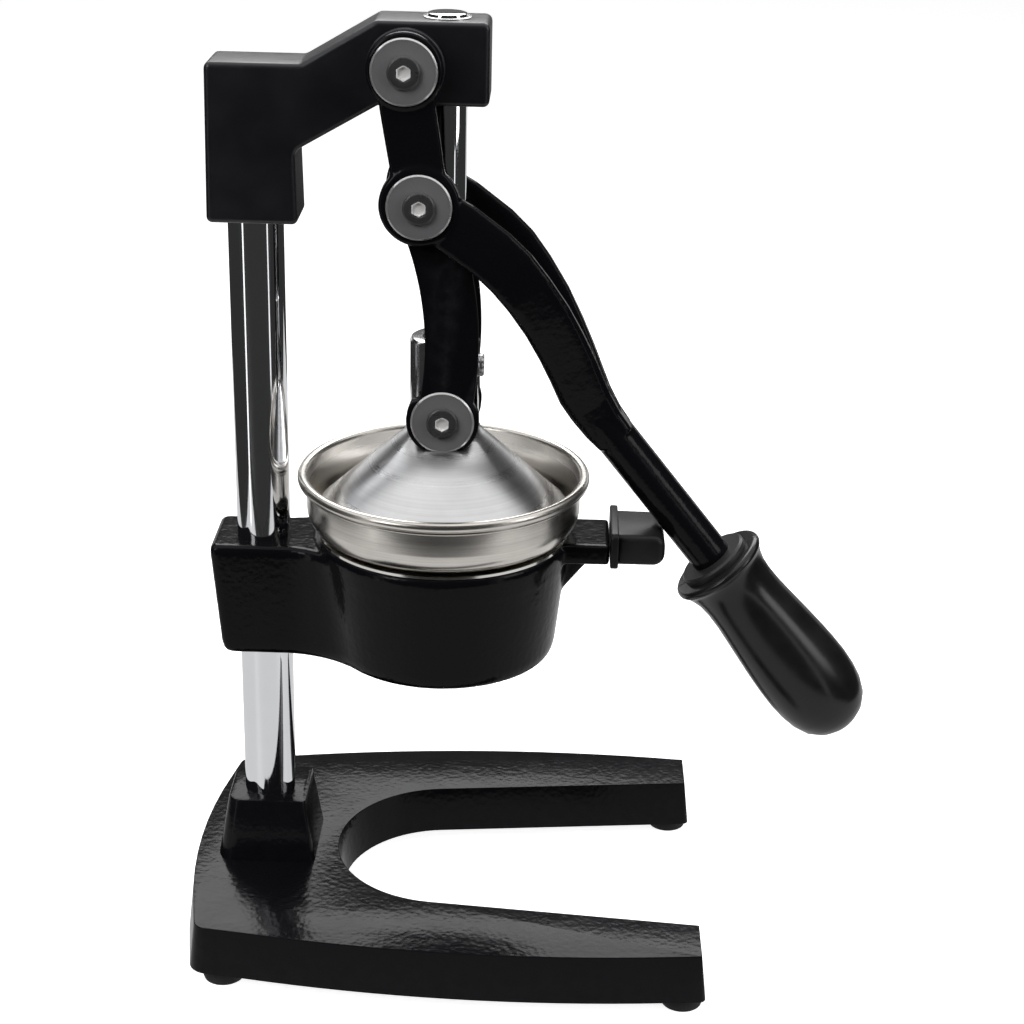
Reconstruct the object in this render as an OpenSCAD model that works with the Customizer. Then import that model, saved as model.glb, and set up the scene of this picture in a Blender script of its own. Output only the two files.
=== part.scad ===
// Citrus press juicer: heavy cast base, chromed column, toggle lever press,
// stainless strainer cup in a cast bracket.
// Frame: +Z up, origin at the bottom centre of the bounding box, +X towards the
// user's side (grip), press closed.  Millimetres.  The shapes are drawn from the
// press axis, and seat() moves them onto the origin.

/* [Base] */
// Overall half width of the base at its widest place
base_half_w = 97; // [92:1:102]
// X of the leg ends
leg_end_x = 124.3; // [118:0.1:130]
// Underside of the base above the table
base_z0 = 9; // [8:0.5:11]
// Top face of the base above the table
base_z1 = 31.5; // [29:0.5:34]
// Top of the column boss
boss_z = 62; // [56:1:64]

/* [Column] */
// X of the column axis
col_x = -81.7; // [-84:0.1:-80]
// Column radius
col_r = 12; // [11:0.25:12]

/* [Head] */
// Half thickness of the head casting
head_hw = 14.25; // [13:0.25:14.5]
// Top face of the tall block
head_top = 425.5; // [423:0.5:428]
// Lower face of the tall block
head_low = 390.8; // [389:0.2:392]

/* [Toggle] */
// X of the fixed lever pivot
h_x = -16.3; // [-17:0.1:-15.5]
// Z of the fixed lever pivot
h_z = 406.8; // [406:0.1:408]
// X of the knee pivot
m_x = -10; // [-10.5:0.1:-9.5]
// Z of the knee pivot
m_z = 351; // [350:0.1:352]
// Z of the press head pivot
p_z = 254; // [253:0.1:255]
// Pin radius
pin_r = 6; // [5:0.25:6.5]

/* [Press] */
// Press rod radius
rod_r = 8.6; // [8:0.1:8.8]
// Neck radius of the press head
neck_r = 15.2; // [15:0.1:16]
// Largest radius of the press head
press_r = 57; // [55:0.5:57.5]

/* [Cup] */
// Outside radius of the rolled cup rim
rim_r = 65.5; // [64.5:0.25:66.5]
// Height of the cup rim centre line
rim_z = 223; // [222:0.5:224]
// Outside radius of the cup wall
cup_r = 61.5; // [60.5:0.25:62]

/* [Bracket] */
// Top face of the bracket
br_z1 = 196; // [195.5:0.5:196.5]
// Lower edge of the bracket ring
br_z0 = 139; // [137:1:142]
// Outside radius of the bracket ring at its top
br_r = 57.5; // [56.5:0.5:58.5]

/* [Grip] */
// Radius of the lever shaft
shaft_r = 9.4; // [9:0.1:9.6]
// Flange radius of the grip
flange_r = 22.5; // [21:0.5:23]

/* [Hidden] */
$fn = 96;
// distance of the press axis behind the origin
axis_back = 39;
// running clearance in the pivots
run = 0.05;
// link plates
link_y0 = 11.3;
link_t = 6;
// lever arms
arm_y0 = 17.7;
arm_t = 6.9;
washer_t = 1.6;
// outside of the rod guide bush
bush_r = 10.2;
arm_y1 = arm_y0 + arm_t;
// slope of the shaft below the horizontal
shaft_a = 51.2;
// a point on the shaft axis
sh_x = 87.9;
sh_z = 229.2;

// ---- helpers -------------------------------------------------------------

// moves a piece from the press axis onto the origin
module seat() {
    translate([-axis_back, 0, 0]) children();
}

// cylinder along Y between two stations
module ycyl(x, z, r, y0, y1) {
    translate([x, y1, z]) rotate([90, 0, 0]) cylinder(h = y1 - y0, r = r);
}

// a 2-D profile in the XZ plane given thickness between two Y stations
module yplate(y0, y1) {
    translate([0, y1, 0]) rotate([90, 0, 0]) linear_extrude(height = y1 - y0) children();
}

// socket cap screw with its head face at y = s*y1 and its shank inwards
module pivot_screw(x, z, s, y0, shank) {
        difference() {
        union() {
            if (s < 0) {
                ycyl(x, z, 6.9, -y0 - 2.2, -y0);
                ycyl(x, z, 2.9, -y0, -y0 + shank);
            } else {
                ycyl(x, z, 6.9, y0, y0 + 2.2);
                ycyl(x, z, 2.9, y0 - shank, y0);
            }
        }
        // hexagon socket
        translate([x, s * (y0 + 2.3), z]) rotate([90, 0, 0])
            cylinder(h = 3.2, r = 3.1, center = true, $fn = 6);
    }
}

// pair of flat washers with chamfered edge, front and rear
module washer_pair(x, z, y0) {
    for (s = [-1, 1])
        translate([x, s * y0, z]) rotate([s > 0 ? -90 : 90, 0, 0])
            difference() {
                union() {
                    cylinder(h = 1, r = 14);
                    translate([0, 0, 1]) cylinder(h = washer_t - 1, r1 = 14, r2 = 13.3);
                }
                translate([0, 0, -1]) cylinder(h = 4, r = 3.2);
            }
}

// ---- base ----------------------------------------------------------------

foot_xy = [[114, 79], [114, -79], [-95.5, 69], [-95.5, -69]];

// outline of the base without its gap, drawn in by d on every side
module base_outline(d) {
    intersection() {
        translate([45, base_half_w - d - 705]) circle(r = 705, $fn = 720);
        translate([45, 705 - base_half_w + d]) circle(r = 705, $fn = 720);
        translate([195 + d, 0]) circle(r = 314, $fn = 360);
        translate([-130, -110]) square([130 + leg_end_x - 1.35 * d, 220]);
        // drawn-in rear corners
        translate([-130, -130]) rotate(0) polygon([[0, 75], [48, 27 + d], [300, 0],
            [300, 260], [48, 233 - d], [0, 185]]);
    }
}

// gap between the legs, grown by d on every side
module base_gap(d) {
    translate([3, 0]) circle(r = 50 + d);
    polygon([[3, -50 - d], [leg_end_x + 6, -63.9 - d], [leg_end_x + 6, 63.9 + d], [3, 50 + d]]);
}

module base() {
    seat() color([0.05, 0.05, 0.05]) difference() {
        union() {
            difference() {
                // drafted outside
                union() {
                    translate([0, 0, base_z0]) linear_extrude(height = 8) base_outline(0);
                    translate([0, 0, base_z0 + 8]) linear_extrude(height = 8) base_outline(0.9);
                    translate([0, 0, base_z0 + 16]) linear_extrude(height = base_z1 - base_z0 - 17.5)
                        base_outline(1.8);
                    translate([0, 0, base_z1 - 1.5]) linear_extrude(height = 1.5) base_outline(3);
                }
                translate([0, 0, base_z0 - 1]) linear_extrude(height = base_z1) base_gap(0);
                translate([0, 0, base_z0 + 8]) linear_extrude(height = base_z1) base_gap(0.7);
                translate([0, 0, base_z0 + 16]) linear_extrude(height = base_z1) base_gap(1.3);
                translate([0, 0, base_z1 - 1.5]) linear_extrude(height = 4) base_gap(2.2);
            }
            // column boss
            hull() {
                translate([col_x - 23.8, -21.8, base_z1 - 1]) cube([46.8, 43.6, 1]);
                translate([col_x - 18.6, -17.5, boss_z - 1]) cube([37.2, 35, 1]);
            }
        }
        // column bore from above, bolt hole and recess from below
        translate([col_x, 0, base_z1 - 13.5]) cylinder(h = 60, r = col_r + run);
        translate([col_x, 0, 0]) cylinder(h = 40, r = 4.3);
        translate([col_x, 0, 0]) cylinder(h = base_z0 + 3.5, r = 12);
        // foot screw holes
        for (p = foot_xy) translate([p[0], p[1], base_z0 - 1]) cylinder(h = 13, r = 2.1);
    }
}

module feet() {
    seat() color([0.08, 0.08, 0.08]) for (p = foot_xy)
        translate([p[0], p[1], 0]) difference() {
            union() {
                cylinder(h = 2, r1 = 9, r2 = 9.9);
                translate([0, 0, 2]) cylinder(h = base_z0 - 2, r = 9.9);
            }
            translate([0, 0, -1]) cylinder(h = 4.5, r = 4.6);
            translate([0, 0, -1]) cylinder(h = 20, r = 2.1);
        }
}

module foot_screws() {
    seat() color([0.7, 0.7, 0.72]) for (p = foot_xy)
        translate([p[0], p[1], 0.8]) difference() {
            union() {
                cylinder(h = 2.7, r = 4.4);
                cylinder(h = base_z0 + 8, r = 2.05);
            }
            translate([0, 0, -0.1]) cylinder(h = 1.4, r = 1.9, $fn = 6);
        }
}

// ---- column --------------------------------------------------------------

module column() {
    seat() color([0.86, 0.87, 0.9]) difference() {
        union() {
            translate([col_x, 0, base_z1 - 13.5]) cylinder(h = 380, r = col_r);
        }
        translate([col_x, 0, base_z1 - 14]) cylinder(h = 22, r = 4.05);
    }
}

module column_bolt() {
    seat() color([0.6, 0.6, 0.62]) translate([col_x, 0, 0]) difference() {
        union() {
            translate([0, 0, base_z0 - 4.9]) cylinder(h = 6.6, r = 6.5);
            translate([0, 0, base_z0 + 1.7]) cylinder(h = 1.8, r = 10.5);
            translate([0, 0, base_z0 + 1]) cylinder(h = 28, r = 4);
        }
        translate([0, 0, base_z0 - 5]) cylinder(h = 4, r = 3.6, $fn = 6);
    }
}

// ---- bracket -------------------------------------------------------------

// plan of the flare: joins a ring of radius r and a block of half width w
module flare_2d(r, w) {
    cx = -72.5;
    // radius of the hollow that touches both
    h = (cx * cx + w * w - r * r) / (2 * (r - w));
    difference() {
        polygon([[cx, -w], [cx, w], [-r * 0.72, r * 0.66], [-r * 0.72, -r * 0.66]]);
        for (s = [-1, 1]) translate([cx, s * (h + w)]) circle(r = h);
    }
    polygon([[cx - 12, -w], [cx - 12, w], [cx + 30, w], [cx + 30, -w]]);
}

module bracket() {
    seat() color([0.05, 0.05, 0.05]) difference() {
        union() {
            // ring, drafted outside with a rounded lower edge
            rotate_extrude() polygon([[40, br_z0], [br_r - 9, br_z0], [br_r - 6.4, br_z0 + 1.4],
                [br_r - 5, br_z0 + 5], [br_r, br_z1 - 3], [br_r - 1, br_z1 - 0.6],
                [br_r - 2, br_z1], [40, br_z1]]);
            // clamp block round the column
            hull() {
                translate([-99.5, -19, br_z0 + 1.5]) cube([40, 38, 1]);
                translate([-98.5, -17, br_z0]) cube([40, 34, 1]);
                translate([-104.6, -19, br_z1 - 7]) cube([44, 38, 1]);
                translate([-103, -17.5, br_z1 - 4.7]) cube([40, 35, 1]);
            }
            // hollow flare that runs from the block into the ring, drafted in steps
            for (i = [0 : 5]) translate([0, 0, br_z0 + 0.6 + i * 9])
                linear_extrude(height = 9) flare_2d(br_r - 6 + i * 0.95, 19 + i * 0.12);
            // tongue that carries the bumper
            translate([50, -17, br_z1 - 9]) cube([25.6, 34, 10]);
            translate([70, -15.5, br_z1 - 6.5]) cube([19, 31, 7]);
            translate([50, 0, br_z1 - 28]) rotate([90, 0, 0])
                linear_extrude(height = 10, center = true) polygon([[0, 0], [2, 0], [20, 20], [0, 20]]);
        }
        // bore of the ring
        translate([0, 0, br_z0 - 1]) cylinder(h = 80, r = 49);
        translate([0, 0, br_z1]) cylinder(h = 80, r = 60);
        // column bore
        translate([col_x, 0, 100]) cylinder(h = 120, r = col_r + run);
        // clamp screw
        translate([-110, 0, br_z1 - 26]) rotate([0, 90, 0]) cylinder(h = 20, r = 3.5);
    }
}

module bracket_screw() {
    seat() color([0.3, 0.3, 0.32]) translate([0, 0, br_z1 - 26]) rotate([0, 90, 0]) difference() {
        translate([0, 0, -102.6]) cylinder(h = 102.6 + col_x - col_r, r = 3.48);
        translate([0, 0, -103]) cylinder(h = 3.4, r = 1.8, $fn = 6);
    }
}

module bumper_cap() {
    seat() color([0.06, 0.06, 0.06]) difference() {
        union() {
            // flange
            yplate(-19.8, 19.8) polygon([[75.6, br_z1 - 9.8], [79.4, br_z1 - 9.8],
                [79.4, br_z1 + 7.6], [75.6, br_z1 + 7.6]]);
            // body with a softened end
            yplate(-16.6, 16.6) hull() {
                translate([79, br_z1 - 8.8]) square([2, 15]);
                translate([94.8, br_z1 - 3]) circle(r = 5.4);
                translate([94.8, br_z1 + 0.4]) circle(r = 5.4);
            }
        }
        translate([70, -15.5, br_z1 - 6.5]) cube([19, 31, 7]);
    }
}

// ---- juice path ----------------------------------------------------------

module juice_funnel() {
    seat() color([0.8, 0.79, 0.76]) rotate_extrude() polygon([[48.4, br_z1], [56.6, br_z1],
        [56.6, br_z1 + 1.2], [47.2, br_z1 + 1.2], [45.2, br_z1 - 10], [12.8, br_z0 + 16],
        [12, br_z0 + 3], [13.2, br_z0 + 3], [14, br_z0 + 15.4], [46.4, br_z1 - 10.6]]);
}

module strainer_cup() {
    // floor level of the cup
    z0 = br_z1 + 1.2;
    seat() color([0.82, 0.8, 0.77]) difference() {
        union() {
            // floor, corner radius and wall
            rotate_extrude() difference() {
                union() {
                    translate([0, z0]) square([49, 12]);
                    translate([49.5, z0 + 12]) intersection() {
                        circle(r = 12);
                        translate([-1, -13]) square([14, 13.01]);
                    }
                    translate([0, z0 + 12]) square([cup_r, rim_z - z0 - 12]);
                }
                translate([-1, z0 + 1]) square([50.5, 11.1]);
                translate([49.4, z0 + 12]) circle(r = 11);
                translate([-1, z0 + 12]) square([cup_r, 40]);
            }
            // rolled rim
            rotate_extrude() translate([rim_r - 2.4, rim_z]) circle(r = 2.4);
        }
        // juice slots in the floor
        for (a = [0 : 20 : 340]) rotate(a) translate([35, -1.1, z0 - 1]) cube([12, 2.2, 3]);
    }
}

module reamer() {
    z0 = br_z1 + 2.2;
    seat() color([0.82, 0.8, 0.77]) translate([0, 0, z0]) {
        difference() {
            rotate_extrude() polygon([[0, 0], [33, 0], [33, 1.5], [30, 3], [10, 17], [5, 20], [0, 21]]);
            translate([0, 0, -1]) cylinder(h = 14, r1 = 28, r2 = 9);
        }
        // ribs of the cone
        for (a = [0 : 45 : 315]) rotate(a + 22.5) yplate(-1.2, 1.2)
            polygon([[7, 14], [30, 1], [33, 1], [33, 2.4], [10, 18.6], [7, 18.6]]);
    }
}

// ---- head ----------------------------------------------------------------

module head() {
    seat() color([0.09, 0.09, 0.095]) difference() {
        union() {
            yplate(-head_hw, head_hw) difference() {
                polygon([[-100.9, 339], [-62, 339], [-62.6, 369], [-60, 372.5], [-27.5, head_low],
                    [18.3, head_low], [18.3, head_top], [-28.5, head_top], [-60, 407],
                    [-99.8, 407]]);
            }
            // raised pads round the fixed pivot
            ycyl(h_x, h_z, 16.4, -arm_y0 + run, arm_y0 - run);
        }
        // column bore, closed at the top
        translate([col_x, 0, 330]) cylinder(h = base_z1 - 13.5 + 380 - 330, r = col_r + run);
        // press rod guide bore
        translate([0, 0, 380]) cylinder(h = 60, r = bush_r);
        // fixed pivot bore
        ycyl(h_x, h_z, pin_r, -40, 40);
        // clamp screw
        translate([-110, 0, 360]) rotate([0, 90, 0]) cylinder(h = 20, r = 3.5);
    }
}

module head_screw() {
    seat() color([0.3, 0.3, 0.32]) translate([0, 0, 360]) rotate([0, 90, 0]) difference() {
        translate([0, 0, -98.6]) cylinder(h = 98.6 + col_x - col_r, r = 3.48);
        translate([0, 0, -99]) cylinder(h = 3.4, r = 1.8, $fn = 6);
    }
}

module guide_bush() {
    seat() color([0.7, 0.6, 0.4]) difference() {
        translate([0, 0, head_low + 0.5]) cylinder(h = head_top - head_low - 1, r = bush_r);
        translate([0, 0, head_low - 1]) cylinder(h = 60, r = rod_r + run);
    }
}

module h_pin() {
    seat() color([0.6, 0.6, 0.62]) difference() {
        ycyl(h_x, h_z, pin_r, -arm_y1, arm_y1);
        // clear of the press rod guide
        for (s = [-1, 1]) translate([h_x, s * (arm_y1 - 8), h_z]) rotate([s > 0 ? -90 : 90, 0, 0])
            cylinder(h = 9, r = 2.9);
    }
}

module h_washers() {
    seat() color([0.3, 0.3, 0.31]) washer_pair(h_x, h_z, arm_y1);
}

module h_screws() {
    seat() color([0.2, 0.2, 0.2]) {
        pivot_screw(h_x, h_z, -1, arm_y1 + washer_t, 8.4);
        pivot_screw(h_x, h_z, 1, arm_y1 + washer_t, 8.4);
    }
}

// ---- lever ---------------------------------------------------------------

// side outline of one fork arm
module arm_2d() {
    translate([h_x, h_z]) circle(r = 16);
    translate([m_x, m_z]) circle(r = 17);
    // upper arm
    polygon([[h_x - 11, h_z - 4], [h_x - 9.2, h_z - 18], [m_x - 12.6, m_z + 16], [m_x - 14, m_z],
        [m_x + 13, m_z + 3], [m_x + 10, m_z + 16], [h_x + 13.6, h_z - 14], [h_x + 14, h_z - 4]]);
    // curved arm towards the grip
    intersection() {
        difference() {
            translate([-64.4, 226.2]) circle(r = 146, $fn = 240);
            translate([-97.3, 201.7]) circle(r = 163, $fn = 240);
        }
        polygon([[m_x, m_z - 18], [m_x + 18, m_z + 4], [38, 341], [17.4, 317.2], [5, 303]]);
    }
}

// thin slice across an arm: centre, slope below the horizontal, half height
module slice_2d(x, z, a, tall) {
    translate([x, z]) rotate(-a) square([1, 2 * tall], center = true);
}

module arm_slice(s, x, z, a, tall, y0, y1) {
    yplate(s > 0 ? y0 : -y1, s > 0 ? y1 : -y0) slice_2d(x, z, a, tall);
}

module lever() {
    seat() color([0.05, 0.05, 0.05]) difference() {
        union() {
            for (s = [-1, 1]) yplate(s > 0 ? arm_y0 : -arm_y1, s > 0 ? arm_y1 : -arm_y0) arm_2d();
            // each arm bends inwards on its way to the shaft
            for (s = [-1, 1]) {
                hull() {
                    arm_slice(s, 24.2, 327.6, 42, 12.1, 17.7, 24.6);
                    arm_slice(s, 34.2, 316.9, 48, 11.8, 15.6, 22.2);
                }
                hull() {
                    arm_slice(s, 34.2, 316.9, 48, 11.8, 15.6, 22.2);
                    arm_slice(s, 52.4, 286.2, 58, 11.4, 6.2, 14.6);
                }
                hull() {
                    arm_slice(s, 52.4, 286.2, 58, 11.4, 6.2, 14.6);
                    arm_slice(s, 61, 268, 58, 10.2, 0, 10.6);
                }
            }
            // yoke where both arms meet
            hull() {
                yplate(-10.6, 10.6) slice_2d(61, 268, 58, 10.2);
                translate([sh_x, 0, sh_z]) rotate([0, 90 + shaft_a, 0])
                    translate([0, 0, -24]) cylinder(h = 1, r = shaft_r + 0.3, $fn = 32);
            }
            // shaft
            translate([sh_x, 0, sh_z]) rotate([0, 90 + shaft_a, 0])
                translate([0, 0, -36]) cylinder(h = 128, r = shaft_r);
        }
        // pivot bores
        ycyl(h_x, h_z, pin_r + run, -40, 40);
        ycyl(m_x, m_z, pin_r, -40, 40);
    }
}

module ferrule() {
    seat() color([0.04, 0.04, 0.04]) translate([sh_x, 0, sh_z]) rotate([0, 90 + shaft_a, 0])
        difference() {
            translate([0, 0, 55]) cylinder(h = 3, r = 17);
            translate([0, 0, 50]) cylinder(h = 10, r = shaft_r);
        }
}

module grip() {
    seat() color([0.05, 0.05, 0.05]) translate([sh_x, 0, sh_z]) rotate([0, 90 + shaft_a, 0])
        difference() {
            rotate_extrude() polygon([[0, 58], [flange_r - 1.5, 58], [flange_r, 59.5],
                [flange_r, 61.5], [flange_r - 1.5, 64], [18.6, 69], [17.6, 76], [18, 86],
                [19.6, 100], [21.2, 118], [21.6, 130], [20.8, 142], [18, 151], [13.5, 157.5],
                [7, 161], [0, 162]]);
            translate([0, 0, 40]) cylinder(h = 52, r = shaft_r);
        }
}

module m_pin() {
    // one stub on each side, so the press rod passes between them
    seat() color([0.6, 0.6, 0.62]) for (s = [-1, 1]) difference() {
        ycyl(m_x, m_z, pin_r, s > 0 ? link_y0 : -arm_y1, s > 0 ? arm_y1 : -link_y0);
        translate([m_x, s * (arm_y1 - 8), m_z]) rotate([s > 0 ? -90 : 90, 0, 0])
            cylinder(h = 9, r = 2.9);
    }
}

module m_washers() {
    seat() color([0.3, 0.3, 0.31]) washer_pair(m_x, m_z, arm_y1);
}

module m_screws() {
    seat() color([0.2, 0.2, 0.2]) {
        pivot_screw(m_x, m_z, -1, arm_y1 + washer_t, 8.4);
        pivot_screw(m_x, m_z, 1, arm_y1 + washer_t, 8.4);
    }
}

// ---- links ---------------------------------------------------------------

// length and lean of the links at rest
link_l = sqrt(m_x * m_x + (m_z - p_z) * (m_z - p_z));
link_a = atan2(m_z - p_z, m_x);
// bow of the centre line and its radius
bow = 8;
bow_r = (link_l * link_l / 4 + bow * bow) / (2 * bow);

// side outline of a link, drawn from the lower pivot along +X
module link_2d() {
    circle(r = 16);
    translate([link_l, 0]) circle(r = 16);
    intersection() {
        translate([link_l / 2, bow_r - bow]) difference() {
            circle(r = bow_r + 11.6, $fn = 240);
            circle(r = bow_r - 11.6, $fn = 240);
        }
        translate([0, -40]) square([link_l, 80]);
    }
}

module link(s) {
    y0 = s > 0 ? link_y0 : -link_y0 - link_t;
    difference() {
        translate([0, y0 + link_t, p_z]) rotate([90, 0, 0]) linear_extrude(height = link_t)
            rotate(link_a) link_2d();
        ycyl(m_x, m_z, pin_r + run, -40, 40);
        // tapped hole for the outer screw
        ycyl(0, p_z, 2.9, s > 0 ? 13 : -20, s > 0 ? 20 : -13);
    }
}

module link_front() {
    seat() color([0.05, 0.05, 0.05]) link(-1);
}

module link_rear() {
    seat() color([0.05, 0.05, 0.05]) link(1);
}

module p_washers() {
    seat() color([0.3, 0.3, 0.31]) washer_pair(0, p_z, link_y0 + link_t);
}

module p_screws() {
    seat() color([0.2, 0.2, 0.2]) {
        pivot_screw(0, p_z, -1, link_y0 + link_t + washer_t, 3.6);
        pivot_screw(0, p_z, 1, link_y0 + link_t + washer_t, 3.6);
    }
}

// ---- press ---------------------------------------------------------------

module press_rod() {
    seat() color([0.86, 0.87, 0.9]) union() {
        translate([0, 0, 264]) cylinder(h = head_top + 1 - 264, r = rod_r);
        translate([0, 0, head_top + 1]) cylinder(h = 1, r1 = rod_r, r2 = rod_r - 1);
    }
}

module press_head() {
    seat() color([0.72, 0.72, 0.73]) difference() {
        rotate_extrude() polygon([[0, 221.5], [6, 221], [12, 219.2], [38, 206.5], [42, 204.5],
            [press_r - 3, 204.5], [press_r - 0.6, 205.2], [press_r, 207], [press_r - 0.4, 208.5],
            [neck_r + 3, 243.5], [neck_r + 1, 245.6], [neck_r, 249], [neck_r, 287.2],
            [neck_r - 0.8, 288], [0, 288]]);
        // flats for the links, milled down into the cone so that the eyes swing clear
        for (s = [-1, 1]) translate([-34, s > 0 ? 11 : -33, 223.3]) cube([68, 22, 80]);
        // rod bore
        translate([0, 0, 264]) cylinder(h = 30, r = rod_r);
        // pin bore
        ycyl(0, p_z, pin_r, -20, 20);
        // set screw
        translate([rod_r - 4, 0, 275]) rotate([0, 90, 0]) cylinder(h = 14, r = 2.5);
    }
}

module press_screw() {
    seat() color([0.75, 0.75, 0.77]) translate([0, 0, 275]) rotate([0, 90, 0]) difference() {
        union() {
            translate([0, 0, rod_r + 0.1]) cylinder(h = neck_r - rod_r, r = 2.45);
            translate([0, 0, neck_r]) cylinder(h = 2.2, r = 5);
        }
        translate([-0.6, -6, neck_r + 1.2]) cube([1.2, 12, 2]);
    }
}

module p_pin() {
    seat() color([0.6, 0.6, 0.62]) ycyl(0, p_z, pin_r, -10.95, 10.95);
}

// ---- assembly ------------------------------------------------------------

base();
feet();
foot_screws();
column();
column_bolt();
bracket();
bracket_screw();
bumper_cap();
juice_funnel();
strainer_cup();
reamer();
head();
head_screw();
guide_bush();
h_pin();
h_washers();
h_screws();
lever();
ferrule();
grip();
m_pin();
m_washers();
m_screws();
link_front();
link_rear();
p_washers();
p_screws();
press_rod();
press_head();
press_screw();
p_pin();
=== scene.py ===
"""Citrus press juicer: detailed pieces, finishes, studio and camera.

Every size is in millimetres here and becomes metres in the meshes.  The
pieces are drawn from the press axis and then moved to where it stands.
"""

import logging
import math
from dataclasses import dataclass, field
from enum import Enum

import bmesh
import bpy
from mathutils import Matrix, Vector

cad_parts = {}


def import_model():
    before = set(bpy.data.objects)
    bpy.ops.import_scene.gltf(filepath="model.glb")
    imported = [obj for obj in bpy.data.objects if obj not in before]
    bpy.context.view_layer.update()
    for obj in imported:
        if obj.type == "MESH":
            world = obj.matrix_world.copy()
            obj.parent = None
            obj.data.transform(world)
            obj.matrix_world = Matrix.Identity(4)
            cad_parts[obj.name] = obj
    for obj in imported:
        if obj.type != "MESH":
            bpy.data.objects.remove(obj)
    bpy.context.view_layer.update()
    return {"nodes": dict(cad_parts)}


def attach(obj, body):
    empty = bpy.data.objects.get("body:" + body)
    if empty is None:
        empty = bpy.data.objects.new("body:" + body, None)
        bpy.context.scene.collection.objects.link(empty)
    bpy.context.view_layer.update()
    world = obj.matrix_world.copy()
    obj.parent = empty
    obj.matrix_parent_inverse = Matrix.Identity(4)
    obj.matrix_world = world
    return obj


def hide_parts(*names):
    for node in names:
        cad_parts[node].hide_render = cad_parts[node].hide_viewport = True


LOG = logging.getLogger("citrus_press")
MM = 0.001
AXIS = -39.0
WHITE = (1.0, 1.0, 1.0, 1.0)
Outline = list[tuple[float, float]]
Spot = tuple[float, float, float]


class Body(Enum):
    """Rigid bodies that pieces ride on."""

    FRAME = "frame"
    LEVER = "lever"
    LINKS = "links"
    PRESS = "press"


# ---------------------------------------------------------------- finishes


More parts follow.
